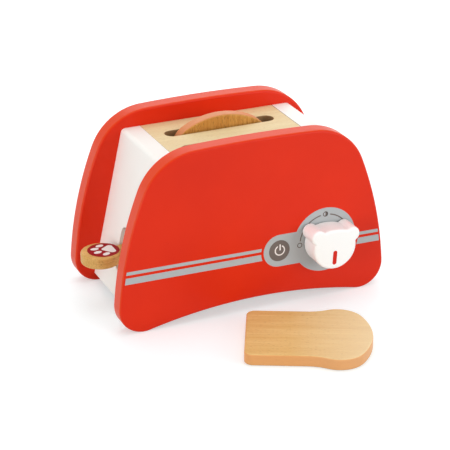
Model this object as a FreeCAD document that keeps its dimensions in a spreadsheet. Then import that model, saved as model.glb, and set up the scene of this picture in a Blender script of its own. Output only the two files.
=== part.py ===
import FreeCAD, Part
import math
import os
import Sketcher
from FreeCAD import Placement, Rotation, Vector

# A wooden toy toaster, in millimetres. X runs along its length, the front with the knob faces -Y,
# and Z is up from the table. The origin is the middle of its footprint on the table.

SIZES = [
    ("toy_length", 240, "front and rear panel, widest"),
    ("toy_depth", 120, "over both panels"),
    ("toy_height", 152, "table to the top of the crown"),
    ("board", 15, "thickness of the front and rear panels"),
    ("crown_radius", 1200, "gentle top curve of the panels"),
    ("shoulder_radius", 50, "upper corners of the panels"),
    ("shoulder_reach", 51, "middle of the panel to a shoulder's centre"),
    ("side_radius", 325, "long curve down each side of the panels"),
    ("foot_radius", 21.5, "round foot of the panels"),
    ("arch_radius", 433, "shallow arch between the feet"),
    ("foot_sanding", 0.2, "depth of the flat sanded under each foot"),
    ("edge_round", 2, "rounded rim of the panels"),
    ("core_offset", 2.5, "middle of the box between the panels, right of the panels' middle"),
    ("end_board", 16, "thickness of the leaning end boards"),
    ("end_lean", 12.5, "lean of the end boards, degrees"),
    ("end_round", 4, "rounded upper outer edge of the end boards"),
    ("top_half", 77.8, "middle of the box to the outer top edge of an end board"),
    ("crown_rise", 16, "slotted plate's upper face to the top of the crown"),
    ("end_height", 8, "table to the lower edge of the end boards"),
    ("plate_thick", 12, "slotted plate"),
    ("plate_gap", 0.2, "joint line between the plate and each end board"),
    ("slot_length", 99, "bread slot, over its round ends"),
    ("slot_width", 13.5, "bread slot"),
    ("slot_spacing", 36, "between the middles of the two slots"),
    ("slot_rim", 0.8, "rounded rim of the bread slots"),
    ("base_height", 12, "table to the base board"),
    ("base_thick", 10, "base board"),
    ("dowel_radius", 3, "glued dowels between boards"),
    ("dowel_length", 22, "glued dowels between boards"),
    ("dowel_depth", 10.8, "how far each dowel goes into a panel"),
    ("glue_gap", 0.05, "radial room for glue round a dowel or screw"),
    ("low_dowel", 34, "table to the lower dowels of the end boards"),
    ("high_dowel", 112, "table to the upper dowels of the end boards"),
    ("plate_dowel", 46, "middle of the box to the plate's dowels"),
    ("base_dowel", 56, "middle of the box to the base board's dowels"),
    ("post_radius", 4, "guide posts of the lift"),
    ("post_reach", 30, "middle of the box to each guide post"),
    ("post_depth", 6, "how far a post goes into the plate and the base"),
    ("slide_play", 0.08, "radial room of the tray on its posts"),
    ("lever_height", 45, "table to the middle of the lever at rest"),
    ("lever_thick", 10, "lever board"),
    ("lever_width", 12, "neck and bar of the lever"),
    ("head_stand", 18, "left end board's outer face to the middle of the lever's head"),
    ("head_radius", 16.6, "round head of the lever"),
    ("lever_round", 2, "rounded edges of the lever"),
    ("bar_end", 42, "middle of the box to the inner end of the lever's bar"),
    ("lever_slot_width", 14, "slot in the left end board"),
    ("lever_slot_low", 29, "table to the lower end of the lever slot"),
    ("lever_slot_high", 66.5, "table to the upper end of the lever slot"),
    ("tray_length", 148, "lift tray"),
    ("tray_width", 60, "lift tray"),
    ("tray_thick", 12, "lift tray"),
    ("trough_depth", 2, "grooves that the bread stands in"),
    ("trough_play", 0.75, "room beside the bread in its groove"),
    ("groove_play", 0.1, "room beside the lever's bar in the tray"),
    ("screw_radius", 1.45, "shank of the screws"),
    ("screw_head", 3, "head radius of the screws"),
    ("head_height", 1.5, "head of the screws"),
    ("screw_reach", 8, "how far a tray screw goes past its head"),
    ("screw_inset", 8, "inner end of the lever's bar to the first tray screw"),
    ("screw_pitch", 14, "first tray screw to the second"),
    ("counterbore_play", 0.2, "room round and under a screw head"),
    ("bread_height", 102.2, "flat end to crown"),
    ("bread_thick", 10, "bread slice"),
    ("bread_seat", 45.1, "table to the flat end of the slice in the slot"),
    ("bread_half", 38, "half the width of the straight sides"),
    ("bread_head", 43.2, "half the width across the head"),
    ("bread_crown", 67, "radius of the crown"),
    ("bread_cheek", 22.5, "radius of the head's sides"),
    ("bread_waist", 40, "radius of the waist"),
    ("bread_corner", 7, "corners of the flat end"),
    ("bread_round", 1.5, "rounded edges of a slice"),
    ("loose_x", -32.3, "loose slice: middle of its flat end"),
    ("loose_y", -109.7, "loose slice: middle of its flat end"),
    ("loose_turn", -116.5, "loose slice: turn about Z, degrees"),
    ("knob_inset", 18.9, "inner face of the right end board to the knob's axis"),
    ("knob_z", 52.7, "table to the knob's axis"),
    ("knob_radius", 19.3, "round part of the knob"),
    ("knob_thick", 19, "knob"),
    ("knob_gap", 1, "front panel to the back of the knob"),
    ("knob_top", 15.9, "knob axis to the flatter top between the ears"),
    ("knob_top_radius", 38, "flatter top between the ears"),
    ("ear_radius", 6.4, "ears of the knob"),
    ("ear_x", 15.6, "knob axis to an ear, sideways"),
    ("ear_z", 10, "knob axis to an ear, upwards"),
    ("notch_round", 1.4, "rounded notches beside the ears"),
    ("knob_front_round", 2, "front rim of the knob"),
    ("knob_back_round", 0.8, "back rim of the knob"),
    ("knob_turn", 3.3, "turn of the knob at rest, degrees"),
    ("shaft_radius", 4, "knob shaft"),
    ("shaft_depth", 12, "how far the shaft goes into the knob"),
    ("shaft_play", 0.08, "radial room of the shaft in the panel"),
    ("end_play", 0.4, "room between the panel and the retaining washer"),
    ("felt_radius", 9, "felt washer behind the knob"),
    ("felt_thick", 0.7, "felt washer behind the knob"),
    ("washer_radius", 8, "retaining washer"),
    ("washer_thick", 1.5, "retaining washer"),
    ("shaft_screw_reach", 14, "screw in the end of the shaft, past its head"),
]

doc = FreeCAD.newDocument("toy_toaster")
sheet = doc.addObject("Spreadsheet::Sheet", "dim")
for row, (alias, value, note) in enumerate(SIZES, start=1):
    sheet.set(f"A{row}", alias.replace("_", " "))
    sheet.set(f"B{row}", str(value))
    sheet.setAlias(f"B{row}", alias)
    sheet.set(f"C{row}", note)
doc.recompute()

# Places and sizes that several pieces share, as rules on the sheet.
INNER = "(dim.toy_depth / 2 - dim.board)"
TOP = "(dim.toy_height - dim.crown_rise)"
LEAN = "tan(dim.end_lean * 1 deg)"
END_SPAN = "(dim.end_board / cos(dim.end_lean * 1 deg))"
PLATE_LOW = f"({TOP} - dim.plate_thick)"
PLATE_MIDDLE = f"({TOP} - dim.plate_thick / 2)"
BASE_HIGH = "(dim.base_height + dim.base_thick)"
BASE_MIDDLE = "(dim.base_height + dim.base_thick / 2)"
LEVER_LOW = "(dim.lever_height - dim.lever_thick / 2)"
TRAY_HIGH = "(dim.bread_seat + dim.trough_depth)"
TRAY_LOW = f"({TRAY_HIGH} - dim.tray_thick)"
KNOB_BACK = "(-dim.toy_depth / 2 - dim.knob_gap)"
WASHER_FRONT = f"(-{INNER} + dim.end_play)"
DOWEL_HOLE = "(dim.dowel_radius + dim.glue_gap)"
DOWEL_INSIDE = "(dim.dowel_length - dim.dowel_depth)"
SCREW_PLACES = ("(dim.bar_end + dim.screw_inset)", "(dim.bar_end + dim.screw_inset + dim.screw_pitch)")

# An edge lies in a plane when it is nearer than this to it.
NEAR = 1e-4


def outer_half(height):
    """Middle of the box to an end board's outer face, at a height."""
    return f"(dim.top_half + ({TOP} - {height}) * {LEAN})"


def inner_half(height):
    """Middle of the box to an end board's inner face, at a height."""
    return f"({outer_half(height)} - {END_SPAN})"


def end_middle(height):
    """Middle of the box to the middle of an end board's thickness, at a height."""
    return f"({outer_half(height)} - {END_SPAN} / 2)"


HEAD_REACH = f"({outer_half('dim.lever_height')} + dim.head_stand)"
KNOB_X = f"(dim.core_offset + {inner_half('dim.knob_z')} - dim.knob_inset)"


def value_of(rule):
    """The present value of a rule, as a plain number."""
    result = sheet.evalExpression(str(rule))
    return float(getattr(result, "Value", result))


def new_body(name, x="0", y="0", z="0"):
    """A PartDesign body whose place follows the sheet."""
    body = doc.addObject("PartDesign::Body", name)
    body.Label = name
    for axis, rule in zip("xyz", (x, y, z)):
        body.setExpression(f"Placement.Base.{axis}", rule)
    return body


def new_sketch(body, plane, offset="0"):
    """A sketch on one of the body's own planes, moved along its normal by a rule."""
    sketch = body.newObject("Sketcher::SketchObject", f"{body.Name}_sketch")
    origin_plane = next(f for f in body.Origin.OriginFeatures if f.Role == f"{plane}_Plane")
    sketch.AttachmentSupport = (origin_plane, "")
    sketch.MapMode = "FlatFace"
    sketch.setExpression("AttachmentOffset.Base.z", offset)
    return sketch


def hold(sketch, kind, geometry, rule):
    """Add a dimension to the sketch and tie it to its rule."""
    index = sketch.addConstraint(Sketcher.Constraint(kind, *geometry, value_of(rule)))
    sketch.setExpression(f"Constraints[{index}]", str(rule))


def pin(sketch, geometry, point, across, up):
    """Hold a point of the sketch at a place worked out from the sheet."""
    hold(sketch, "DistanceX", (-1, 1, geometry, point), across)
    hold(sketch, "DistanceY", (-1, 1, geometry, point), up)


def flat(across, up):
    """A point in a sketch's plane, from two rules."""
    return Vector(value_of(across), value_of(up), 0)


def add_polygon(sketch, corners):
    """A closed polygon with every corner pinned."""
    points = [flat(*corner) for corner in corners]
    first = sketch.GeometryCount
    count = len(points)
    for index in range(count):
        sketch.addGeometry(Part.LineSegment(points[index], points[(index + 1) % count]))
    for index in range(count):
        following = first + (index + 1) % count
        sketch.addConstraint(Sketcher.Constraint("Coincident", first + index, 2, following, 1))
        pin(sketch, first + index, 1, *corners[index])


def box_corners(left, right, low, high):
    """The corners of an upright box, anticlockwise."""
    return [(left, low), (right, low), (right, high), (left, high)]


def add_circle(sketch, across, up, radius):
    """A circle with its middle and radius held."""
    centre = flat(across, up)
    index = sketch.addGeometry(Part.Circle(centre, Vector(0, 0, 1), value_of(radius)))
    pin(sketch, index, 3, across, up)
    hold(sketch, "Radius", (index,), radius)


def add_arc(sketch, centre, radius, start, end):
    """An arc, anticlockwise, from numbers; its constraints come after."""
    circle = Part.Circle(Vector(centre[0], centre[1], 0), Vector(0, 0, 1), radius)
    return sketch.addGeometry(Part.ArcOfCircle(circle, start, end))


def add_slot(sketch, across, up, length, width, along_x=True):
    """A slot with round ends: two arcs joined by two tangent lines."""
    middle = flat(across, up)
    radius = value_of(width) / 2
    half = value_of(length) / 2 - radius
    step = Vector(half, 0, 0) if along_x else Vector(0, half, 0)
    side = Vector(0, radius, 0) if along_x else Vector(-radius, 0, 0)
    turn = 0 if along_x else math.pi / 2
    far = add_arc(sketch, middle + step, radius, turn - math.pi / 2, turn + math.pi / 2)
    near = add_arc(sketch, middle - step, radius, turn + math.pi / 2, turn + 3 * math.pi / 2)
    left = sketch.addGeometry(Part.LineSegment(middle + step + side, middle - step + side))
    right = sketch.addGeometry(Part.LineSegment(middle - step - side, middle + step - side))
    ring = (far, left, near, right)
    for one, other in zip(ring, ring[1:] + ring[:1]):
        sketch.addConstraint(Sketcher.Constraint("Tangent", one, 2, other, 1))
    reach = f"(({length}) - ({width})) / 2"
    steps = (reach, "0") if along_x else ("0", reach)
    pin(sketch, far, 3, f"({across}) + {steps[0]}", f"({up}) + {steps[1]}")
    pin(sketch, near, 3, f"({across}) - {steps[0]}", f"({up}) - {steps[1]}")
    hold(sketch, "Radius", (far,), f"({width}) / 2")


def extrude(body, sketch, length, reverse=False, both_ways=False):
    """Pad a sketch of the body."""
    pad = body.newObject("PartDesign::Pad", f"{body.Name}_pad")
    pad.Profile = sketch
    pad.setExpression("Length", length)
    pad.Reversed = reverse
    if both_ways:
        pad.SideType = "Symmetric"
    doc.recompute()
    return pad


def cut(body, sketch, length=None, reverse=False):
    """Pocket a sketch into the body, through all without a length, and see that it cuts."""
    before = body.Shape.Volume
    pocket = body.newObject("PartDesign::Pocket", f"{body.Name}_pocket")
    pocket.Profile = sketch
    pocket.Reversed = reverse
    if length is None:
        pocket.Type = "ThroughAll"
    else:
        pocket.setExpression("Length", length)
    doc.recompute()
    if not pocket.Shape.Volume < before - 0.001:
        raise RuntimeError(f"a pocket of {body.Label} cuts nothing")
    return pocket


def round_edges(body, feature, radius, wanted):
    """Fillet the edges of a feature that a test picks."""
    names = [f"Edge{n}" for n, edge in enumerate(feature.Shape.Edges, start=1) if wanted(edge)]
    if not names:
        raise RuntimeError(f"no edge to round on {body.Label}")
    fillet = body.newObject("PartDesign::Fillet", f"{body.Name}_round")
    fillet.Base = (feature, names)
    fillet.setExpression("Radius", radius)
    doc.recompute()
    return fillet


def lies_at(edge, axis, place):
    """True where a whole edge lies in the plane axis = place."""
    box = edge.BoundBox
    low, high = getattr(box, f"{axis}Min"), getattr(box, f"{axis}Max")
    return abs(low - place) < NEAR and abs(high - place) < NEAR


# The panels' outline: a crown, two shoulders, two long sides, two round feet and an arch,
# each an arc that is tangent to the next.


def tangent_between(first, first_reach, second, second_reach):
    """The centre that lies at two distances from two centres, on the side nearer to X = 0."""
    gap = second - first
    along = (first_reach ** 2 - second_reach ** 2 + gap.Length ** 2) / (2 * gap.Length)
    across = math.sqrt(first_reach ** 2 - along ** 2)
    foot = first + gap * (along / gap.Length)
    normal = Vector(gap.y, -gap.x, 0) / gap.Length
    return min((foot + normal * across, foot - normal * across), key=lambda point: point.x)


def draw_panel_outline(sketch):
    """Eight tangent arcs, symmetric about X = 0, held by their radii and four centres."""
    crown, shoulder = value_of("dim.crown_radius"), value_of("dim.shoulder_radius")
    side, foot, arch = (value_of(f"dim.{part}_radius") for part in ("side", "foot", "arch"))
    reach = value_of("dim.shoulder_reach")
    crown_at = Vector(0, value_of("dim.toy_height") - crown, 0)
    lift = math.asin(reach / (crown - shoulder))
    shoulder_at = crown_at + Vector(math.sin(lift), math.cos(lift), 0) * (crown - shoulder)
    foot_at = flat("dim.toy_length / 2 - dim.foot_radius", "dim.foot_radius - dim.foot_sanding")
    side_at = tangent_between(shoulder_at, side - shoulder, foot_at, side - foot)
    arch_at = Vector(0, foot_at.y - math.sqrt((arch + foot) ** 2 - foot_at.x ** 2), 0)

    def bearing(start, end):
        return math.atan2(end.y - start.y, end.x - start.x)

    crown_turn, shoulder_turn = bearing(crown_at, shoulder_at), bearing(side_at, shoulder_at)
    side_turn, arch_turn = bearing(side_at, foot_at), bearing(arch_at, foot_at)
    pi = math.pi
    turns = [
        (crown_at, crown, crown_turn, pi - crown_turn),
        (Vector(-shoulder_at.x, shoulder_at.y, 0), shoulder, pi - crown_turn, pi - shoulder_turn),
        (Vector(-side_at.x, side_at.y, 0), side, pi - shoulder_turn, pi - side_turn),
        (Vector(-foot_at.x, foot_at.y, 0), foot, pi - side_turn, 2 * pi - arch_turn),
        (arch_at, arch, arch_turn, pi - arch_turn),
        (foot_at, foot, pi + arch_turn, 2 * pi + side_turn),
        (side_at, side, side_turn, shoulder_turn),
        (shoulder_at, shoulder, shoulder_turn, crown_turn),
    ]
    arcs = [add_arc(sketch, *turn) for turn in turns]
    crown_arc, left_shoulder, _, left_foot, arch_arc, right_foot, _, right_shoulder = arcs
    for one, other in zip(arcs, arcs[1:] + arcs[:1]):
        end = 1 if one == arch_arc else 2
        start = 2 if other == arch_arc else 1
        sketch.addConstraint(Sketcher.Constraint("Tangent", one, end, other, start))
    kinds = ("crown", "shoulder", "side", "foot", "arch", "foot", "side", "shoulder")
    for arc, kind in zip(arcs, kinds):
        hold(sketch, "Radius", (arc,), f"dim.{kind}_radius")
    pin(sketch, crown_arc, 3, "0", "dim.toy_height - dim.crown_radius")
    hold(sketch, "DistanceX", (-1, 1, right_shoulder, 3), "dim.shoulder_reach")
    hold(sketch, "DistanceX", (-1, 1, left_shoulder, 3), "-dim.shoulder_reach")
    foot_height = "dim.foot_radius - dim.foot_sanding"
    pin(sketch, right_foot, 3, "dim.toy_length / 2 - dim.foot_radius", foot_height)
    pin(sketch, left_foot, 3, "dim.foot_radius - dim.toy_length / 2", foot_height)


def dowel_places():
    """Where the glued dowels stand in the panels, as X and Z rules."""
    places = []
    for side in ("-", "+"):
        for height in ("dim.low_dowel", "dim.high_dowel"):
            places.append((f"dim.core_offset {side} {end_middle(height)}", height))
        places.append((f"dim.core_offset {side} dim.plate_dowel", PLATE_MIDDLE))
        places.append((f"dim.core_offset {side} dim.base_dowel", BASE_MIDDLE))
    return places


def make_panel(name, front):
    """A front or rear panel, drawn on its inner face and thick towards the outside."""
    body = new_body(name, y=f"-{INNER}" if front else INNER)
    sketch = new_sketch(body, "XZ")
    draw_panel_outline(sketch)
    pad = extrude(body, sketch, "dim.board", reverse=not front)
    round_edges(body, pad, "dim.edge_round", lambda edge: edge.BoundBox.YLength < NEAR)
    sanding = new_sketch(body, "XY")
    add_polygon(sanding, box_corners("-dim.toy_length", "dim.toy_length", "-dim.toy_depth", "dim.toy_depth"))
    cut(body, sanding)
    holes = new_sketch(body, "XZ")
    for across, up in dowel_places():
        add_circle(holes, across, up, DOWEL_HOLE)
    cut(body, holes, "dim.dowel_depth + dim.glue_gap", reverse=front)
    if front:
        bore = new_sketch(body, "XZ")
        add_circle(bore, KNOB_X, "dim.knob_z", "dim.shaft_radius + dim.shaft_play")
        cut(body, bore, reverse=True)
    return body


def bore_board_ends(body, places):
    """Blind dowel holes in both long edges of a board that spans the two panels."""
    for offset, reverse in ((INNER, True), (f"-{INNER}", False)):
        holes = new_sketch(body, "XZ", offset)
        for across, up in places:
            add_circle(holes, across, up, DOWEL_HOLE)
        cut(body, holes, f"{DOWEL_INSIDE} + dim.glue_gap", reverse=not reverse)


def make_end_board(name, side):
    """A leaning end board; the left one has the lever's slot."""
    body = new_body(name, x="dim.core_offset")
    low, high = "dim.end_height", TOP
    sketch = new_sketch(body, "XZ")
    add_polygon(sketch, [
        (f"{side}{outer_half(low)}", low),
        (f"{side}{inner_half(low)}", low),
        (f"{side}{inner_half(high)}", high),
        (f"{side}{outer_half(high)}", high),
    ])
    pad = extrude(body, sketch, f"2 * {INNER}", both_ways=True)
    top, edge_x = value_of(high), float(f"{side}1") * value_of(outer_half(high))

    def outer_top(edge):
        return lies_at(edge, "Z", top) and lies_at(edge, "X", edge_x)

    round_edges(body, pad, "dim.end_round", outer_top)
    bore_board_ends(body, [(f"{side}{end_middle(h)}", h) for h in ("dim.low_dowel", "dim.high_dowel")])
    if side == "-":
        slot = new_sketch(body, "YZ")
        middle = "(dim.lever_slot_low + dim.lever_slot_high) / 2"
        length = "dim.lever_slot_high - dim.lever_slot_low"
        add_slot(slot, "0", middle, length, "dim.lever_slot_width", along_x=False)
        cut(body, slot)
    return body


def make_slot_plate():
    """The plate on top: its ends follow the leaning boards, and the bread goes through it."""
    body = new_body("slot_plate", x="dim.core_offset")
    low, high = PLATE_LOW, TOP
    sketch = new_sketch(body, "XZ")
    add_polygon(sketch, [
        (f"-({inner_half(low)} - dim.plate_gap)", low),
        (f"{inner_half(low)} - dim.plate_gap", low),
        (f"{inner_half(high)} - dim.plate_gap", high),
        (f"-({inner_half(high)} - dim.plate_gap)", high),
    ])
    extrude(body, sketch, f"2 * {INNER}", both_ways=True)
    slots = new_sketch(body, "XY")
    for side in ("-", ""):
        add_slot(slots, "0", f"{side}dim.slot_spacing / 2", "dim.slot_length", "dim.slot_width")
    pocket = cut(body, slots, reverse=True)
    top, half = value_of(high), value_of("dim.slot_length") / 2

    def slot_rim(edge):
        box = edge.BoundBox
        return lies_at(edge, "Z", top) and max(-box.XMin, box.XMax) < half + NEAR and box.YLength < half

    round_edges(body, pocket, "dim.slot_rim", slot_rim)
    posts = new_sketch(body, "XY", PLATE_LOW)
    for side in ("-", ""):
        add_circle(posts, f"{side}dim.post_reach", "0", "dim.post_radius + dim.glue_gap")
    cut(body, posts, "dim.post_depth + dim.glue_gap", reverse=True)
    bore_board_ends(body, [(f"{side}dim.plate_dowel", PLATE_MIDDLE) for side in ("-", "")])
    return body


def make_base_board():
    """The base board between the end boards; the guide posts stand in it."""
    body = new_body("base_board", x="dim.core_offset")
    low, high = "dim.base_height", BASE_HIGH
    sketch = new_sketch(body, "XZ")
    add_polygon(sketch, [
        (f"-{inner_half(low)}", low),
        (inner_half(low), low),
        (inner_half(high), high),
        (f"-{inner_half(high)}", high),
    ])
    extrude(body, sketch, f"2 * {INNER}", both_ways=True)
    posts = new_sketch(body, "XY", BASE_HIGH)
    for side in ("-", ""):
        add_circle(posts, f"{side}dim.post_reach", "0", "dim.post_radius + dim.glue_gap")
    cut(body, posts, "dim.post_depth + dim.glue_gap")
    bore_board_ends(body, [(f"{side}dim.base_dowel", BASE_MIDDLE) for side in ("-", "")])
    return body


def place(part, x="0", y="0", z="0"):
    """Tie a Part object's place to rules."""
    for axis, rule in zip("xyz", (x, y, z)):
        part.setExpression(f"Placement.Base.{axis}", rule)


def make_rod(name, radius, height, x, y, z, along_y=False):
    """A plain round rod, upright or pointing along -Y."""
    rod = doc.addObject("Part::Cylinder", name)
    rod.Label = name
    rod.setExpression("Radius", radius)
    rod.setExpression("Height", height)
    if along_y:
        rod.Placement = Placement(Vector(), Rotation(Vector(1, 0, 0), 90))
    place(rod, x, y, z)
    return rod


def make_group(name, parts):
    """Identical pieces that share one node."""
    group = doc.addObject("Part::Compound", name)
    group.Label = name
    group.Links = parts
    return group


def make_posts():
    """The two guide posts of the lift."""
    low = f"({BASE_HIGH} - dim.post_depth)"
    height = f"{PLATE_LOW} + dim.post_depth - {low}"
    posts = []
    for name, side in (("guide_post_left", "-"), ("guide_post_right", "+")):
        x = f"dim.core_offset {side} dim.post_reach"
        posts.append(make_rod(name, "dim.post_radius", height, x, "0", low))
    return posts


def make_dowels():
    """Glued dowels: each goes through the joint between a panel and a board."""
    ends = {"front": f"{DOWEL_INSIDE} - {INNER}", "rear": f"{INNER} + dim.dowel_depth"}
    size = ("dim.dowel_radius", "dim.dowel_length")
    dowels = []
    for number, (across, up) in enumerate(dowel_places(), start=1):
        for end, y in ends.items():
            dowels.append(make_rod(f"dowel_{end}_{number}", *size, across, y, up, along_y=True))
    return make_group("assembly_dowels", dowels)


def make_lever():
    """The lever: a round head outside, a neck in the slot and a bar in the tray's groove."""
    body = new_body("lever", x="dim.core_offset", z=LEVER_LOW)
    sketch = new_sketch(body, "XY")
    reach, radius = value_of(HEAD_REACH), value_of("dim.head_radius")
    half = value_of("dim.lever_width / 2")
    turn = math.asin(half / radius)
    junction = -reach + radius * math.cos(turn)
    inner = -value_of("dim.bar_end")
    head = add_arc(sketch, (-reach, 0), radius, turn, 2 * math.pi - turn)
    rear = sketch.addGeometry(Part.LineSegment(Vector(inner, half, 0), Vector(junction, half, 0)))
    end = sketch.addGeometry(Part.LineSegment(Vector(inner, -half, 0), Vector(inner, half, 0)))
    front = sketch.addGeometry(Part.LineSegment(Vector(junction, -half, 0), Vector(inner, -half, 0)))
    ring = (rear, head, front, end)
    for one, other in zip(ring, ring[1:] + ring[:1]):
        sketch.addConstraint(Sketcher.Constraint("Coincident", one, 2, other, 1))
    pin(sketch, head, 3, f"-{HEAD_REACH}", "0")
    hold(sketch, "Radius", (head,), "dim.head_radius")
    pin(sketch, end, 2, "-dim.bar_end", "dim.lever_width / 2")
    pin(sketch, end, 1, "-dim.bar_end", "-dim.lever_width / 2")
    for line in (rear, front):
        sketch.addConstraint(Sketcher.Constraint("Horizontal", line))
    pad = extrude(body, sketch, "dim.lever_thick")
    round_edges(body, pad, "dim.lever_round", lambda edge: edge.BoundBox.ZLength < NEAR)
    pilots = new_sketch(body, "XY")
    for near in SCREW_PLACES:
        add_circle(pilots, f"-{near}", "0", "dim.screw_radius + dim.glue_gap")
    screw_end = f"{TRAY_LOW} + dim.counterbore_play + dim.head_height + dim.screw_reach"
    cut(body, pilots, f"{screw_end} + dim.glue_gap - {LEVER_LOW}", reverse=True)
    return body


def make_tray():
    """The lift tray: grooves for two slices, a housing for the lever's bar and two post holes."""
    body = new_body("toast_tray", x="dim.core_offset", z=TRAY_LOW)
    sketch = new_sketch(body, "XY")
    long, wide = "dim.tray_length / 2", "dim.tray_width / 2"
    add_polygon(sketch, box_corners(f"-{long}", long, f"-{wide}", wide))
    extrude(body, sketch, "dim.tray_thick")
    grooves = new_sketch(body, "XY", "dim.tray_thick")
    for side in (-1, 1):
        middle = f"{side} * dim.slot_spacing / 2"
        half = "(dim.bread_thick / 2 + dim.trough_play)"
        add_polygon(grooves, box_corners(f"-{long}", long, f"{middle} - {half}", f"{middle} + {half}"))
    cut(body, grooves, "dim.trough_depth")
    housing = new_sketch(body, "XY", "dim.tray_thick")
    half = "(dim.lever_width / 2 + dim.groove_play)"
    end = "(dim.groove_play - dim.bar_end)"
    add_polygon(housing, box_corners(f"-{long}", end, f"-{half}", half))
    cut(body, housing, f"{TRAY_HIGH} - {LEVER_LOW}")
    posts = new_sketch(body, "XY", "dim.tray_thick")
    for side in ("-", ""):
        add_circle(posts, f"{side}dim.post_reach", "0", "dim.post_radius + dim.slide_play")
    cut(body, posts)
    bores = new_sketch(body, "XY")
    sinks = new_sketch(body, "XY")
    for near in SCREW_PLACES:
        add_circle(bores, f"-{near}", "0", "dim.screw_radius + dim.glue_gap")
        add_circle(sinks, f"-{near}", "0", "dim.screw_head + dim.counterbore_play")
    cut(body, bores, reverse=True)
    cut(body, sinks, "dim.head_height + dim.counterbore_play", reverse=True)
    return body


def make_screw(name, reach, x, y, z, along_y=False):
    """A pan-head screw from two rods and a point; its head's outer face is at the given place."""
    rods = []

    def at(distance):
        return (x, f"{y} - ({distance})", z) if along_y else (x, y, f"{z} + {distance}")

    for part, radius, height, start in (
        ("head", "dim.screw_head", "dim.head_height", "0"),
        ("shank", "dim.screw_radius", f"{reach} - 2 * dim.screw_radius", "dim.head_height"),
    ):
        rods.append(make_rod(f"{name}_{part}", radius, height, *at(start), along_y))
    point = doc.addObject("Part::Cone", f"{name}_point")
    point.setExpression("Radius1", "dim.screw_radius")
    point.Radius2 = 0
    point.setExpression("Height", "2 * dim.screw_radius")
    if along_y:
        point.Placement = Placement(Vector(), Rotation(Vector(1, 0, 0), 90))
    place(point, *at(f"(dim.head_height + {reach} - 2 * dim.screw_radius)"))
    screw = doc.addObject("Part::MultiFuse", name)
    screw.Label = name
    screw.Shapes = rods + [point]
    return screw


def make_tray_screws():
    """Two screws from under the tray into the lever's bar."""
    height = f"{TRAY_LOW} + dim.counterbore_play"
    screws = []
    for number, near in enumerate(SCREW_PLACES, start=1):
        x = f"dim.core_offset - {near}"
        screws.append(make_screw(f"tray_screw_{number}", "dim.screw_reach", x, "0", height))
    return make_group("tray_screws", screws)


def draw_bread(sketch):
    """A slice's outline: crown, cheeks, waist, straight sides and round corners, all tangent."""
    crown, cheek = value_of("dim.bread_crown"), value_of("dim.bread_cheek")
    waist, corner = value_of("dim.bread_waist"), value_of("dim.bread_corner")
    half, height = value_of("dim.bread_half"), value_of("dim.bread_height")
    cheek_x = value_of("dim.bread_head - dim.bread_cheek")
    crown_z = height - crown
    cheek_z = crown_z + math.sqrt((crown - cheek) ** 2 - cheek_x ** 2)
    waist_x = half + waist
    waist_z = cheek_z - math.sqrt((cheek + waist) ** 2 - (waist_x - cheek_x) ** 2)
    top_turn = math.atan2(cheek_z - crown_z, cheek_x)
    waist_turn = math.atan2(cheek_z - waist_z, waist_x - cheek_x)
    pi = math.pi
    top = add_arc(sketch, (0, crown_z), crown, top_turn, pi - top_turn)
    sketch_sides = []
    for side in (1, -1):
        if side == 1:
            cheek_arc = add_arc(sketch, (cheek_x, cheek_z), cheek, -waist_turn, top_turn)
            waist_arc = add_arc(sketch, (waist_x, waist_z), waist, pi - waist_turn, pi)
            corner_arc = add_arc(sketch, (half - corner, corner), corner, -pi / 2, 0)
        else:
            cheek_arc = add_arc(sketch, (-cheek_x, cheek_z), cheek, pi - top_turn, pi + waist_turn)
            waist_arc = add_arc(sketch, (-waist_x, waist_z), waist, 0, waist_turn)
            corner_arc = add_arc(sketch, (corner - half, corner), corner, pi, 3 * pi / 2)
        x = side * half
        flank = sketch.addGeometry(Part.LineSegment(Vector(x, waist_z, 0), Vector(x, corner, 0)))
        sketch_sides.append((side, cheek_arc, waist_arc, flank, corner_arc))
    flat_end = sketch.addGeometry(Part.LineSegment(Vector(half - corner, 0, 0), Vector(corner - half, 0, 0)))
    for side, cheek_arc, waist_arc, flank, corner_arc in sketch_sides:
        right = side == 1
        near, far = (1, 2) if right else (2, 1)
        joints = [
            (top, near, cheek_arc, far),
            (cheek_arc, near, waist_arc, near),
            (waist_arc, far, flank, 1),
            (flank, 2, corner_arc, far),
            (corner_arc, near, flat_end, near),
        ]
        for one, end, other, start in joints:
            sketch.addConstraint(Sketcher.Constraint("Tangent", one, end, other, start))
        for arc, part in ((cheek_arc, "cheek"), (waist_arc, "waist"), (corner_arc, "corner")):
            hold(sketch, "Radius", (arc,), f"dim.bread_{part}")
        sign = "" if right else "-1 * "
        hold(sketch, "DistanceX", (-1, 1, cheek_arc, 3), f"{sign}(dim.bread_head - dim.bread_cheek)")
        hold(sketch, "DistanceX", (-1, 1, flank, 2), f"{sign}dim.bread_half")
        sketch.addConstraint(Sketcher.Constraint("Vertical", flank))
    hold(sketch, "Radius", (top,), "dim.bread_crown")
    pin(sketch, top, 3, "0", "dim.bread_height - dim.bread_crown")
    hold(sketch, "DistanceY", (-1, 1, flat_end, 1), "0")
    sketch.addConstraint(Sketcher.Constraint("Horizontal", flat_end))


def make_slot_slice():
    """The slice that stands in the rear slot, on the tray."""
    body = new_body("toast_slice_rear", x="dim.core_offset", y="dim.slot_spacing / 2", z="dim.bread_seat")
    sketch = new_sketch(body, "XZ")
    draw_bread(sketch)
    pad = extrude(body, sketch, "dim.bread_thick", both_ways=True)
    round_edges(body, pad, "dim.bread_round", lambda edge: edge.BoundBox.YLength < NEAR)
    return body


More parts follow.
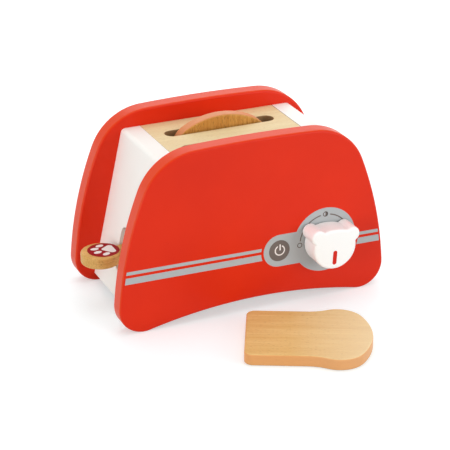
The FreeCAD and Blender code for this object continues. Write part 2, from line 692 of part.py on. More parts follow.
def make_loose_slice():
    """The same slice, lying on the table in front of the toaster."""
    body = new_body("toast_slice_loose", x="dim.loose_x", y="dim.loose_y")
    body.Placement = Placement(Vector(), Rotation(Vector(0, 0, 1), value_of("dim.loose_turn")))
    body.setExpression("Placement.Rotation.Angle", "dim.loose_turn * 1 deg")
    sketch = new_sketch(body, "XY")
    draw_bread(sketch)
    pad = extrude(body, sketch, "dim.bread_thick")
    round_edges(body, pad, "dim.bread_round", lambda edge: edge.BoundBox.ZLength < NEAR)
    return body


def circle_meeting(one, one_radius, other, other_radius, upper):
    """The higher or lower point where two circles cross."""
    gap = other - one
    along = (one_radius ** 2 - other_radius ** 2 + gap.Length ** 2) / (2 * gap.Length)
    across = math.sqrt(one_radius ** 2 - along ** 2)
    foot = one + gap * (along / gap.Length)
    normal = Vector(-gap.y, gap.x, 0) / gap.Length
    pick = max if upper else min
    return pick((foot + normal * across, foot - normal * across), key=lambda point: point.y)


def draw_knob(sketch):
    """The knob's outline: a round body, two round ears and a flatter top between them."""
    round_radius, ear = value_of("dim.knob_radius"), value_of("dim.ear_radius")
    top = value_of("dim.knob_top_radius")
    middle = Vector(0, 0, 0)
    top_at = Vector(0, value_of("dim.knob_top") - top, 0)
    right_ear = flat("dim.ear_x", "dim.ear_z")
    left_ear = Vector(-right_ear.x, right_ear.y, 0)
    low_notch = circle_meeting(middle, round_radius, right_ear, ear, upper=False)
    high_notch = circle_meeting(right_ear, ear, top_at, top, upper=True)

    def bearing(centre, point):
        return math.atan2(point.y - centre.y, point.x - centre.x)

    pi = math.pi
    low_turn, ear_low = bearing(middle, low_notch), bearing(right_ear, low_notch)
    ear_high, top_turn = bearing(right_ear, high_notch), bearing(top_at, high_notch)
    body_arc = add_arc(sketch, middle, round_radius, pi - low_turn, 2 * pi + low_turn)
    right_arc = add_arc(sketch, right_ear, ear, ear_low, ear_high)
    top_arc = add_arc(sketch, top_at, top, top_turn, pi - top_turn)
    left_arc = add_arc(sketch, left_ear, ear, pi - ear_high, pi - ear_low)
    ring = (body_arc, right_arc, top_arc, left_arc)
    for one, other in zip(ring, ring[1:] + ring[:1]):
        sketch.addConstraint(Sketcher.Constraint("Coincident", one, 2, other, 1))
    for arc, radius, x, z in (
        (body_arc, "dim.knob_radius", "0", "0"),
        (right_arc, "dim.ear_radius", "dim.ear_x", "dim.ear_z"),
        (top_arc, "dim.knob_top_radius", "0", "dim.knob_top - dim.knob_top_radius"),
        (left_arc, "dim.ear_radius", "-dim.ear_x", "dim.ear_z"),
    ):
        pin(sketch, arc, 3, x, z)
        hold(sketch, "Radius", (arc,), radius)


def make_knob():
    """The knob, with a blind hole for its shaft in the back."""
    body = new_body("knob", x=KNOB_X, y=KNOB_BACK, z="dim.knob_z")
    body.Placement = Placement(Vector(), Rotation(Vector(0, 1, 0), value_of("dim.knob_turn")))
    body.setExpression("Placement.Rotation.Angle", "dim.knob_turn * 1 deg")
    sketch = new_sketch(body, "XZ")
    draw_knob(sketch)
    pad = extrude(body, sketch, "dim.knob_thick")

    thick = value_of("dim.knob_thick")
    soft = round_edges(body, pad, "dim.notch_round", lambda edge: edge.BoundBox.YLength > thick / 2)
    rim = round_edges(body, soft, "dim.knob_front_round", lambda edge: lies_at(edge, "Y", -thick))
    round_edges(body, rim, "dim.knob_back_round", lambda edge: lies_at(edge, "Y", 0))
    bore = new_sketch(body, "XZ")
    add_circle(bore, "0", "0", "dim.shaft_radius + dim.glue_gap")
    cut(body, bore, "dim.shaft_depth + dim.glue_gap", reverse=True)
    return body


def make_knob_shaft():
    """The shaft, glued in the knob, with a pilot hole for its screw in the inner end."""
    body = new_body("knob_shaft", x=KNOB_X, y=WASHER_FRONT, z="dim.knob_z")
    sketch = new_sketch(body, "XZ")
    add_circle(sketch, "0", "0", "dim.shaft_radius")
    extrude(body, sketch, f"{WASHER_FRONT} - {KNOB_BACK} + dim.shaft_depth")
    pilot = new_sketch(body, "XZ")
    add_circle(pilot, "0", "0", "dim.screw_radius + dim.glue_gap")
    cut(body, pilot, "dim.shaft_screw_reach - dim.washer_thick + dim.glue_gap", reverse=True)
    return body


def make_ring(name, radius, bore, thick, y):
    """A flat ring on the knob's axis, thick towards -Y."""
    body = new_body(name, x=KNOB_X, y=y, z="dim.knob_z")
    sketch = new_sketch(body, "XZ")
    add_circle(sketch, "0", "0", radius)
    add_circle(sketch, "0", "0", bore)
    extrude(body, sketch, thick)
    return body


def make_knob_rings():
    """The felt washer behind the knob and the steel washer on the shaft's inner end."""
    felt = make_ring("felt_washer", "dim.felt_radius", "dim.shaft_radius + dim.glue_gap", "dim.felt_thick",
                     f"{KNOB_BACK} + dim.felt_thick")
    steel = make_ring("retaining_washer", "dim.washer_radius", "dim.screw_radius + dim.glue_gap",
                      "dim.washer_thick", f"{WASHER_FRONT} + dim.washer_thick")
    return [felt, steel]


def make_shaft_screw():
    """The screw that holds the steel washer on the shaft."""
    head = f"({WASHER_FRONT} + dim.washer_thick + dim.head_height)"
    return make_screw("shaft_screw", "dim.shaft_screw_reach", KNOB_X, head, "dim.knob_z", along_y=True)


def make_all():
    """Every piece of the toy, each a node of its own."""
    pieces = [
        make_panel("front_panel", front=True),
        make_panel("rear_panel", front=False),
        make_end_board("left_end_board", "-"),
        make_end_board("right_end_board", "+"),
        make_slot_plate(),
        make_base_board(),
    ]
    pieces += make_posts()
    pieces += [make_dowels(), make_lever(), make_tray(), make_tray_screws()]
    pieces += [make_slot_slice(), make_loose_slice()]
    pieces += [make_knob(), make_knob_shaft(), make_shaft_screw()]
    pieces += make_knob_rings()
    return pieces


def write_all(pieces):
    """Check every object and write each piece to its own file."""
    doc.recompute()
    for item in doc.Objects:
        if "Invalid" in item.State or "Error" in item.State:
            raise RuntimeError(f"{item.Name} did not recompute: {item.State}")
    for piece in pieces:
        if piece.Shape.isNull() or not piece.Shape.isValid():
            raise RuntimeError(f"{piece.Label} has no sound shape")
    os.makedirs("parts", exist_ok=True)
    for piece in pieces:
        piece.Shape.exportStep(f"parts/{piece.Label}.step")
        solids = len(piece.Shape.Solids)
        print(f"{piece.Label}: {solids} solid(s), {piece.Shape.Volume / 1000:.2f} cm3")


write_all(make_all())
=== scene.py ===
"""A wooden toy toaster with a slice in its rear slot and another on the table.

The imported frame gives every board, the lift, the knob and the slices. This script gives each its finish,
prints the badge, stripes, scale, paw and pointer on the paint, and sets up the table, lights and camera.
"""

import math

import bmesh
import bpy
from mathutils import Matrix, Vector


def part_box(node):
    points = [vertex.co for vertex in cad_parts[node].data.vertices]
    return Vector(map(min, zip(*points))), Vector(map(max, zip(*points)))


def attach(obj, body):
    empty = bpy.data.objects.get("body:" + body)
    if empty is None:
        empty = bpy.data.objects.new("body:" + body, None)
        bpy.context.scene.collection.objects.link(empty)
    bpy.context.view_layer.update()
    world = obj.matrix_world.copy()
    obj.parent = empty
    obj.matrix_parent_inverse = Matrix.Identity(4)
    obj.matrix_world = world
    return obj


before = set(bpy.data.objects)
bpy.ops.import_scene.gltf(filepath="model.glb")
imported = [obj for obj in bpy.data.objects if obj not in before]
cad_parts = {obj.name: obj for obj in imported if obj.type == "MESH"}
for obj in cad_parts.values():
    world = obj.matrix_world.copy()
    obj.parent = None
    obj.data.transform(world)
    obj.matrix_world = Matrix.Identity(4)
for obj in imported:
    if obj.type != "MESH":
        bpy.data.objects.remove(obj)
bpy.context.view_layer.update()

MM = 0.001

# Places taken from the frame, in millimetres
FRONT_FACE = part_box("front_panel")[0].y / MM
KNOB_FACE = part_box("knob")[0].y / MM
LEVER_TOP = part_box("lever")[1].z / MM
PLATE_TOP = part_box("slot_plate")[1].z / MM

# Prints on the front: the badge is a big round with a smaller lobe beside it, all on one slow slope
SLOPE = math.radians(-1.0)
DIAL = Vector((63.5, 52.2))
DIAL_RADIUS = 28.7
LOBE = Vector((21.6, 49.7))
LOBE_RADIUS = 14.4
BUTTON_RADIUS = 9.45
SCALE_CENTRE = Vector((63.3, 52.2))
SCALE_RADIUS = 22.7
SCALE_LINE = 1.0
SCALE_ARCS = {"scale_left": (173, -72), "scale_right": (77, -63)}
SIGN_LINE = 0.75
SIGN_RADIUS = 2.35
SIGN_BEARINGS = {"sign_empty": 183, "sign_half": 89, "sign_full": -3}
SIGN_OUTWARD = 0.3
SIGN_FILL_INSET = 0.2
POWER_MIDDLE = LOBE + Vector((0.4, 0.2))
POWER_RING_RADIUS = 4.2
POWER_RING_LINE = 1.1
POWER_RING_ARC = (122, 296)
POWER_BAR_MIDDLE = POWER_MIDDLE + Vector((0.2, 2.7))
POWER_BAR_LENGTH = 5.6
POWER_BAR_WIDTH = 1.2
STRIPES = {"lower_stripe": (43.4, 49.1), "upper_stripe": (51.6, 54.5)}
STRIPE_EDGE_GAP = 2.3
LOBE_GAP = 2.3
DIAL_GAP = 3.3

# The long arcs of the panel's two sides, which the stripes follow
SIDE_RADIUS = 325.0
LEFT_SIDE = Vector((204.1, -1.84))
RIGHT_SIDE = Vector((-204.1, -1.84))

# Prints on the lever and the knob
PAW_DISC = Vector((-110.9, 0.2))
PAW_DISC_RADIUS = 13.4
PAW_PAD = [(Vector((-109.6, 1.4)), 2.3), (Vector((-104.4, -4.2)), 2.9), (Vector((-104.2, 4.6)), 2.6)]
PAW_TOES = [((-111.2, 8.8), 12), ((-117.0, 4.6), -4), ((-116.6, -2.3), 10), ((-111.1, -7.8), 24)]
TOE_HALF_LENGTH = 3.5
TOE_HALF_WIDTH = 2.25
KNOB_AXIS = Vector((63.5, 52.7))
KNOB_TURN = math.radians(3.3)
POINTER_LENGTH = 12.6
POINTER_WIDTH = 3.7
POINTER_DROP = 8.8

# The grain of the loose slice lies this far from the Y axis
LOOSE_SLICE_TURN = math.radians(116.5)

# The painted shadow in the seam where the slot plate meets the right end board: the width of its dark film
SEAM_SHADOW_WIDTH = 0.45

# Printed films: each layer stands a little prouder than the one it is printed on
FILM = 0.05
SUNK = 0.02

# Each sheet's Y goes up, or along Y on a level face, and its Z comes out of the face that it is printed on
UPRIGHT = Matrix.Rotation(math.pi / 2, 4, "X") @ Matrix.Scale(MM, 4)
FRONT_SHEET = Matrix.Translation((0, FRONT_FACE * MM, 0)) @ UPRIGHT
LEVER_SHEET = Matrix.Translation((0, 0, LEVER_TOP * MM)) @ Matrix.Scale(MM, 4)
PLATE_SHEET = Matrix.Translation((0, 0, PLATE_TOP * MM)) @ Matrix.Scale(MM, 4)
KNOB_SHEET = (Matrix.Translation((KNOB_AXIS.x * MM, KNOB_FACE * MM, KNOB_AXIS.y * MM))
              @ Matrix.Rotation(KNOB_TURN, 4, "Y") @ UPRIGHT)

# How finely the round prints are drawn, and how they shade
TURN_STEP = 7
ARC_STEP = 4
ROUND_STEPS = 72
SMALL_STEPS = 40
SHARP_ANGLE = math.radians(35)

# The table, in metres, and its own white where it is looked at: low near the toy, so that its shadow shows,
# and more far off
TABLE_HALF = 6.0
TABLE_DROP = 0.0001
TABLE_GLOW = 0.46
TABLE_GLOW_FAR = 0.5
TABLE_NEAR = 0.35
TABLE_FAR = 0.95

# Soft boxes: place and aim in metres, size of the side, power
SOFT_BOXES = {
    "overhead": ((0.1, 0.1, 1.5), (0, 0, 0.05), 1.3, 8.0),
    "behind_above": ((0.55, 1.35, 1.05), (0, 0, 0.05), 1.4, 5.5),
    "front_right": ((1.1, -1.5, 0.42), (0, 0, 0.06), 1.0, 13.0),
    "left_fill": ((-1.7, -0.7, 0.2), (0, 0, 0.05), 1.0, 15.5),
}
ROOM_LIGHT = 0.55

# The camera looks at the toy from the left and from above
CAMERA_TURN = math.radians(24.211)
CAMERA_TILT = math.radians(24.418)
CAMERA_DISTANCE = 1445.5
CAMERA_SLIDE = -0.636
CAMERA_LIFT = 47.495
PHOTO_WIDTH = 450
PHOTO_FOCAL = 1673.4
SENSOR = 36.0


def srgb(red, green, blue):
    """A colour as a picture editor shows it, made linear for the shader."""
    def linear(value):
        share = value / 255
        return share / 12.92 if share <= 0.04045 else ((share + 0.055) / 1.055) ** 2.4

    return (linear(red), linear(green), linear(blue), 1.0)


class Reading:
    """One output of a shader node, used in plain sums."""

    def __init__(self, finish, socket):
        self.finish = finish
        self.socket = socket

    def combine(self, operation, other):
        return self.finish.node("ShaderNodeMath", {"operation": operation}, {0: self, 1: other})

    def __add__(self, other):
        return self.combine("ADD", other)

    def __sub__(self, other):
        return self.combine("SUBTRACT", other)

    def __mul__(self, other):
        return self.combine("MULTIPLY", other)


class Finish:
    """A material with its shader, its coordinates and the nodes that feed them."""

    def __init__(self, name, **constants):
        self.material = bpy.data.materials.new(name)
        self.material.use_nodes = True
        self.tree = self.material.node_tree
        self.shader = self.tree.nodes["Principled BSDF"]
        for socket, value in constants.items():
            self.shader.inputs[socket.replace("_", " ")].default_value = value
        self.place = self.node("ShaderNodeTexCoord", output="Object")

    def node(self, kind, settings=None, values=None, output=0):
        """Add a node: its settings first, then the values or links of its sockets."""
        made = self.tree.nodes.new(kind)
        for setting, value in (settings or {}).items():
            if setting == "stops":
                self.set_stops(made.color_ramp, value)
            else:
                setattr(made, setting, value)
        for socket, value in (values or {}).items():
            if isinstance(value, Reading):
                self.tree.links.new(value.socket, made.inputs[socket])
            else:
                made.inputs[socket].default_value = value
        return Reading(self, made.outputs[output])

    def set_stops(self, ramp, stops):
        """Give a colour ramp its stops, as places and greys."""
        while len(ramp.elements) < len(stops):
            ramp.elements.new(1.0)
        for element, (place, grey) in zip(ramp.elements, stops):
            element.position = place
            element.color = (grey, grey, grey, 1.0)

    def turned(self, turn):
        """Coordinates turned about Z, so that a pattern can run along a board that lies askew."""
        return self.node("ShaderNodeMapping", values={"Vector": self.place, "Rotation": (0, 0, turn)})

    def noise(self, place, scale, detail=2.0, distortion=0.0):
        values = {"Vector": place, "Scale": scale, "Detail": detail, "Distortion": distortion}
        return self.node("ShaderNodeTexNoise", values=values)

    def ramp(self, source, *stops):
        return self.node("ShaderNodeValToRGB", {"stops": stops}, {"Fac": source})

    def mix(self, share, one, other):
        return self.node("ShaderNodeMix", {"data_type": "RGBA"}, {0: share, 6: one, 7: other}, output=2)

    def feed(self, **sockets):
        """Link what changes over the surface to the shader."""
        for socket, value in sockets.items():
            self.tree.links.new(value.socket, self.shader.inputs[socket.replace("_", " ")])

    def seen(self):
        """1 where the surface is looked at, straight or in a reflection, and 0 where it only lights."""
        direct = self.node("ShaderNodeLightPath", output="Is Camera Ray")
        mirrored = self.node("ShaderNodeLightPath", output="Is Glossy Ray")
        return direct.combine("MAXIMUM", mirrored)

    def edge_share(self, thin):
        """1 on the edges of a thin board, 0 on its two broad faces, from the way each face looks."""
        facing = self.node("ShaderNodeTexCoord", output="Normal")
        apart = self.node("ShaderNodeSeparateXYZ", values={0: facing}, output=thin)
        flatness = self.node("ShaderNodeMath", {"operation": "ABSOLUTE"}, {0: apart})
        return self.ramp(flatness, (0.55, 1.0), (0.85, 0.0))

    def bump(self, height, strength, distance):
        values = {"Height": height, "Strength": strength, "Distance": distance}
        return self.node("ShaderNodeBump", values=values, output="Normal")


def brushed_paint(name, colour, deep, rough=0.42, rim=None):
    """Satin paint on a sanded board: a slow drift of tone, faint roller texture and the odd speck.

    A thin coat of low index keeps the flat faces deep and lets the rims catch the light. A rim colour is a
    painted highlight: a lighter, more orange tone on the edges of upright boards, with less coat there.
    """
    coat = 0.7
    finish = Finish(name, Specular_IOR_Level=0.1, Coat_Weight=coat, Coat_IOR=1.2, Coat_Roughness=0.3)
    drift = finish.noise(finish.place, 14.0, detail=3.0)
    cloud = finish.ramp(drift, (0.32, 0.0), (0.70, 1.0))
    peel = finish.noise(finish.place, 620.0)
    speck = finish.ramp(finish.noise(finish.place, 210.0, detail=1.0), (0.735, 0.0), (0.775, 1.0))
    tone = finish.mix(cloud * 0.55, colour, deep)
    tone = finish.mix(speck * 0.16, tone, deep)
    # painted highlight: the edges of the board are mixed towards the lighter rim colour
    if rim:
        edge = finish.edge_share("Y")
        tone = finish.mix(edge * 0.7, tone, rim)
        finish.feed(Coat_Weight=edge * -0.3 + coat)
    finish.feed(Base_Color=tone, Roughness=peel * 0.16 + (rough - 0.08),
                Normal=finish.bump(peel + speck * 0.6, 0.10, 0.00025))
    return finish.material


def lacquered_wood(name, light, warm, fleck, along, turn=0.0, depth=0.5, grain=0.35, fibre=0.9, rim=None,
                   thin="Z", pale=None):
    """Pale close-grained wood under clear lacquer: soft bands, fine fibres and short dark flecks.

    A rim colour goes on the faces that a thin board shows edge-on, across its thin direction: on the slot
    plate it is painted shade in the slots, on the standing slice painted red light thrown from the panels.
    A pale colour comes in slowly between two places along the grain.
    """
    finish = Finish(name, Specular_IOR_Level=0.35)
    board = finish.turned(turn)

    def running(length, width, **noise):
        scale = tuple(1 / (length * MM) if axis == along else 1 / (width * MM) for axis in "XYZ")
        stretched = finish.node("ShaderNodeMapping", values={"Vector": board, "Scale": scale})
        return finish.noise(stretched, 1.0, **noise)

    bands = finish.ramp(running(150, 9, detail=3.0, distortion=0.6), (0.34, 0.0), (0.68, 1.0))
    fibres = finish.ramp(running(26, fibre, detail=3.0), (0.36, 0.0), (0.64, 1.0))
    flecks = finish.ramp(running(3.4, 0.55, detail=1.0), (0.62, 0.0), (0.70, 1.0))
    tone = finish.mix(bands * depth, light, warm)
    tone = finish.mix(fibres * grain, tone, warm)
    tone = finish.mix(flecks * grain, tone, fleck)
    if pale:
        start, end, colour = pale
        length = finish.node("ShaderNodeSeparateXYZ", values={0: board}, output=along)
        tone = finish.mix(finish.ramp(length, (start * MM, 0.0), (end * MM, 1.0)) * 0.6, tone, colour)
    # the edges take the rim colour: painted shade on the slot plate, painted red bounce light on the standing
    # slice, a darker orange on the lying slice
    if rim:
        tone = finish.mix(finish.edge_share(thin) * 0.8, tone, rim)
    finish.feed(Base_Color=tone, Roughness=bands * 0.08 + 0.42 + fibres * 0.05,
                Normal=finish.bump(fibres - flecks * 0.8, 0.16, 0.0002))
    return finish.material


def printed_film(name, colour):
    """Screen-printed ink: even, with a soft unevenness."""
    finish = Finish(name, Specular_IOR_Level=0.12)
    drift = finish.noise(finish.place, 60.0)
    grain = finish.noise(finish.place, 1400.0, detail=1.0)
    pale = tuple(min(1.0, value * 1.12) for value in colour[:3]) + (1.0,)
    finish.feed(Base_Color=finish.mix(drift * 0.5, colour, pale), Roughness=grain * 0.12 + 0.44,
                Normal=finish.bump(grain, 0.05, 0.0001))
    return finish.material


def zinc_plate(name):
    """Bright zinc on the screws and the washer, with fine turning marks."""
    finish = Finish(name, Metallic=1.0)
    turning = finish.node("ShaderNodeMapping", values={"Vector": finish.place, "Scale": (300, 300, 2600)})
    marks = finish.noise(turning, 1.0)
    tone = finish.mix(marks * 0.4, srgb(196, 198, 202), srgb(150, 152, 158))
    finish.feed(Base_Color=tone, Roughness=marks * 0.2 + 0.22)
    return finish.material


def pressed_felt(name):
    """The grey felt washer: matted hairs."""
    finish = Finish(name, Roughness=0.95)
    hairs = finish.noise(finish.place, 1800.0, detail=4.0, distortion=1.5)
    finish.feed(Base_Color=finish.mix(hairs, srgb(178, 172, 165), srgb(206, 201, 194)),
                Normal=finish.bump(hairs, 0.6, 0.0003))
    return finish.material


def bearing(centre, point):
    """Degrees from a centre to a point, anticlockwise from +X."""
    return math.degrees(math.atan2(point[1] - centre[1], point[0] - centre[0]))


def short_way(degrees):
    """The same turn, taken the short way round."""
    return (degrees + 180) % 360 - 180


class Outline:
    """A line drawn on a flat sheet in millimetres by a moving tip, then filled and given thickness."""

    def __init__(self, start):
        self.bm = bmesh.new()
        self.tip = bmesh.ops.create_vert(self.bm, co=(start[0], start[1], 0))["vert"][0]

    def line(self, end):
        self.tip = bmesh.ops.extrude_vert_indiv(self.bm, verts=[self.tip])["verts"][0]
        self.tip.co = (end[0], end[1], 0)
        return self

    def turn(self, centre, degrees):
        """Swing the tip about a centre, in short steps."""
        arc = math.radians(abs(degrees)) * math.dist(centre, self.tip.co[:2])
        steps = math.ceil(max(abs(degrees) / TURN_STEP, arc / ARC_STEP, 2))
        grown = bmesh.ops.spin(self.bm, geom=[self.tip], cent=(*centre, 0), axis=(0, 0, 1), dvec=(0, 0, 0),
                               angle=math.radians(degrees), steps=steps, use_merge=False)
        self.tip = next(item for item in grown["geom_last"] if isinstance(item, bmesh.types.BMVert))
        return self

    def swing(self, centre, end):
        """Swing the tip the short way about a centre until it faces a point."""
        return self.turn(centre, short_way(bearing(centre, end) - bearing(centre, self.tip.co)))

    def solid(self, thickness, sunk=0.0):
        """Join the ends, fill the outline and extrude it, from just under the sheet."""
        bm = self.bm
        bmesh.ops.remove_doubles(bm, verts=bm.verts[:], dist=0.002)
        bmesh.ops.contextual_create(bm, geom=bm.edges[:])
        return thicken(bm, thickness, sunk)


def thicken(bm, thickness, sunk=0.0):
    """Extrude the flat faces of a mesh along +Z, then let it sink a little."""
    grown = bmesh.ops.extrude_face_region(bm, geom=bm.faces[:], use_keep_orig=True)
    risen = [item for item in grown["geom"] if isinstance(item, bmesh.types.BMVert)]
    bmesh.ops.translate(bm, verts=risen, vec=(0, 0, thickness + sunk))
    bmesh.ops.translate(bm, verts=bm.verts[:], vec=(0, 0, -sunk))
    bmesh.ops.recalc_face_normals(bm, faces=bm.faces[:])
    return bm


def flat_disc(centre, radius, segments):
    """A round face on the sheet."""
    bm = bmesh.new()
    bmesh.ops.create_circle(bm, cap_ends=True, segments=segments, radius=radius,
                            matrix=Matrix.Translation((centre[0], centre[1], 0)))
    return bm


def disc(centre, radius, thickness, sunk=0.0, segments=ROUND_STEPS):
    """A round print."""
    return thicken(flat_disc(centre, radius, segments), thickness, sunk)


def ring(centre, radius, width, thickness):
    """A printed circle line."""
    bm = flat_disc(centre, radius, SMALL_STEPS)
    inner = bm.faces[:]
    bmesh.ops.inset_individual(bm, faces=inner, thickness=width, use_even_offset=True)
    bmesh.ops.delete(bm, geom=inner, context="FACES")
    return thicken(bm, thickness)


def on_circle(centre, radius, degrees):
    """The point of a circle at a bearing."""
    angle = math.radians(degrees)
    return Vector((centre[0] + radius * math.cos(angle), centre[1] + radius * math.sin(angle)))


def stroke(centre, radius, start, degrees, width):
    """A printed arc with round ends: out along its outer side, back along its inner side."""
    outline = Outline(on_circle(centre, radius + width / 2, start))
    outline.turn(centre, degrees)
    outline.turn(on_circle(centre, radius, start + degrees), math.copysign(180, degrees))
    outline.turn(centre, -degrees)
    return outline.turn(on_circle(centre, radius, start), math.copysign(180, degrees))


def pill(centre, length, width):
    """A bar with round ends, upright on the sheet."""
    half = length / 2 - width / 2
    x, y = centre
    outline = Outline((x + width / 2, y - half))
    outline.line((x + width / 2, y + half)).turn((x, y + half), 180)
    return outline.line((x - width / 2, y - half)).turn((x, y - half), 180)


def cross(height, centre, radius, side):
    """Where the line that slopes from a height at X = 0 meets a circle, on its left (-1) or right (1) side."""
    along = Vector((math.cos(SLOPE), math.sin(SLOPE)))
    start = Vector((0, height))
    middle = start + along * (centre - start).dot(along)
    off = (centre - middle).length
    return middle + along * side * math.sqrt(radius ** 2 - off ** 2)


def keep(name, bm, placing, material, body):
    """Turn a finished bmesh into a piece that rides on a body."""
    bmesh.ops.transform(bm, matrix=placing, verts=bm.verts[:])
    mesh = bpy.data.meshes.new(name)
    bm.to_mesh(mesh)
    bm.free()
    mesh.materials.append(material)
    mesh.shade_smooth()
    mesh.set_sharp_from_angle(angle=SHARP_ANGLE)
    piece = bpy.data.objects.new(name, mesh)
    bpy.context.scene.collection.objects.link(piece)
    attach(piece, body)


def print_badge(film):
    """The grey badge: out round the dial, back round the lobe."""
    low = LOBE - Vector((0, LOBE_RADIUS))
    high = LOBE + Vector((0, LOBE_RADIUS))
    heights = [end.y - math.tan(SLOPE) * end.x for end in (low, high)]
    low_meets, high_meets = (cross(height, DIAL, DIAL_RADIUS, -1) for height in heights)
    round_trip = 360 - abs(short_way(bearing(DIAL, low_meets) - bearing(DIAL, high_meets)))
    outline = Outline(low_meets).turn(DIAL, round_trip)
    outline.line(high).turn(LOBE, 180)
    keep("badge", outline.solid(FILM, SUNK), FRONT_SHEET, film, "housing")


def print_button(disc_film, line_film):
    """The power sign on its round button: an open ring with a bar in the gap."""
    keep("power_button", disc(LOBE, BUTTON_RADIUS, 2 * FILM), FRONT_SHEET, disc_film, "housing")
    open_ring = stroke(POWER_MIDDLE, POWER_RING_RADIUS, *POWER_RING_ARC, POWER_RING_LINE)
    keep("power_ring", open_ring.solid(3 * FILM), FRONT_SHEET, line_film, "housing")
    bar = pill(POWER_BAR_MIDDLE, POWER_BAR_LENGTH, POWER_BAR_WIDTH)
    keep("power_bar", bar.solid(3 * FILM), FRONT_SHEET, line_film, "housing")


def print_scale(film):
    """The browning scale: an empty, a half and a full circle joined by arcs."""
    layer = 2 * FILM
    for name, (start, degrees) in SCALE_ARCS.items():
        line = stroke(SCALE_CENTRE, SCALE_RADIUS, start, degrees, SCALE_LINE)
        keep(name, line.solid(layer), FRONT_SHEET, film, "housing")
    for name, degrees in SIGN_BEARINGS.items():
        centre = on_circle(SCALE_CENTRE, SCALE_RADIUS + SIGN_OUTWARD, degrees)
        if name == "sign_full":
            bm = disc(centre, SIGN_RADIUS, layer, segments=SMALL_STEPS)
        else:
            bm = ring(centre, SIGN_RADIUS, SIGN_LINE, layer)
        keep(name, bm, FRONT_SHEET, film, "housing")
        if name == "sign_half":
            half = Outline(centre - Vector((0, SIGN_RADIUS - SIGN_FILL_INSET))).turn(centre, 180)
            keep("sign_half_fill", half.solid(layer), FRONT_SHEET, film, "housing")


def print_stripe(name, film, low, high, left, right):
    """A stripe between two heights that ends on two arcs, each a centre, a reach and the side that is met."""
    outline = Outline(cross(low, *left))
    outline.line(cross(low, *right)).swing(right[0], cross(high, *right))
    outline.line(cross(high, *left)).swing(left[0], cross(low, *left))
    keep(name, outline.solid(FILM, SUNK), FRONT_SHEET, film, "housing")


def print_stripes(film):
    """Two stripes on one slope, each cut to follow the rim, the lobe and the dial."""
    left_rim = (LEFT_SIDE, SIDE_RADIUS - STRIPE_EDGE_GAP, -1)
    right_rim = (RIGHT_SIDE, SIDE_RADIUS - STRIPE_EDGE_GAP, 1)
    lobe = (LOBE, LOBE_RADIUS + LOBE_GAP, -1)
    dial = (DIAL, DIAL_RADIUS + DIAL_GAP, 1)
    for name, (low, high) in STRIPES.items():
        print_stripe(f"{name}_left", film, low, high, left_rim, lobe)
        print_stripe(f"{name}_right", film, low, high, dial, right_rim)


def print_paw(disc_film, pad_film):
    """A crimson round with a plain paw: a rounded three-sided pad and four toes, on the lever's head."""
    keep("paw_disc", disc(PAW_DISC, PAW_DISC_RADIUS, FILM, SUNK), LEVER_SHEET, disc_film, "lift")
    keep("paw_pad", rounded_patch(PAW_PAD).solid(2 * FILM), LEVER_SHEET, pad_film, "lift")
    for number, (centre, lean) in enumerate(PAW_TOES, start=1):
        bm = disc((0, 0), 1.0, 2 * FILM, segments=SMALL_STEPS)
        spot = (Matrix.Translation((centre[0], centre[1], 0)) @ Matrix.Rotation(math.radians(lean), 4, "Z")
                @ Matrix.Diagonal((TOE_HALF_LENGTH, TOE_HALF_WIDTH, 1.0, 1.0)))
        bmesh.ops.transform(bm, matrix=spot, verts=bm.verts[:])
        keep(f"paw_toe_{number}", bm, LEVER_SHEET, pad_film, "lift")


def rounded_patch(corners):
    """An outline stretched round circles that are listed anticlockwise."""
    tangents = []
    for (one, one_radius), (other, other_radius) in zip(corners, corners[1:] + corners[:1]):
        gap = other - one
        lean = math.degrees(math.asin((one_radius - other_radius) / gap.length))
        tangents.append(bearing((0, 0), gap) - 90 + lean)
    outline = Outline(on_circle(*corners[0], tangents[-1]))
    for index, (centre, radius) in enumerate(corners):
        outline.turn(centre, (tangents[index] - tangents[index - 1]) % 360)
        if index + 1 < len(corners):
            following, following_radius = corners[index + 1]
            outline.line(on_circle(following, following_radius, tangents[index]))
    return outline


def print_pointer(film):
    """The red pointer on the knob's face, below its axis."""
    bar = pill((0, -POINTER_DROP), POINTER_LENGTH, POINTER_WIDTH)
    keep("knob_pointer", bar.solid(FILM, SUNK), KNOB_SHEET, film, "selector")


def paint_seam_shadow(film):
    """A painted shadow: a thin dark film on the wood where the slot plate meets the right end board."""
    low, high = (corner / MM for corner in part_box("slot_plate"))
    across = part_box("right_end_board")[0].x / MM
    outline = Outline((across, low.y)).line((across, high.y)).line((across - SEAM_SHADOW_WIDTH, high.y))
    outline.line((across - SEAM_SHADOW_WIDTH, low.y))
    keep("plate_seam_shadow", outline.solid(FILM, SUNK), PLATE_SHEET, film, "housing")


def lay_table():
    """A white table that melts into the background but keeps the toy's soft shadow."""
    bm = bmesh.new()
    bmesh.ops.create_grid(bm, x_segments=1, y_segments=1, size=TABLE_HALF)
    mesh = bpy.data.meshes.new("table")
    bm.to_mesh(mesh)
    bm.free()
    table = bpy.data.objects.new("table", mesh)
    table.location.z = -TABLE_DROP
    bpy.context.scene.collection.objects.link(table)
    finish = Finish("table_white", Roughness=0.7)
    # painted cool tint: the base is a grey bluer than white, which cancels the red light that the panels throw
    # on the table, so that the shadow shows neutral
    white = finish.mix(finish.noise(finish.place, 3.0) * 0.3, srgb(204, 213, 215), srgb(201, 210, 212))
    finish.feed(Base_Color=white)
    away = finish.node("ShaderNodeVectorMath", {"operation": "LENGTH"}, {0: finish.place}, output="Value")
    strength = finish.ramp(away, (TABLE_NEAR, 0.0), (TABLE_FAR, 1.0)) * TABLE_GLOW_FAR + TABLE_GLOW
    glow = finish.node("ShaderNodeEmission", values={"Strength": finish.seen() * strength})
    both = finish.node("ShaderNodeAddShader", values={0: Reading(finish, finish.shader.outputs[0]), 1: glow})
    finish.tree.links.new(both.socket, finish.tree.nodes["Material Output"].inputs["Surface"])
    mesh.materials.append(finish.material)


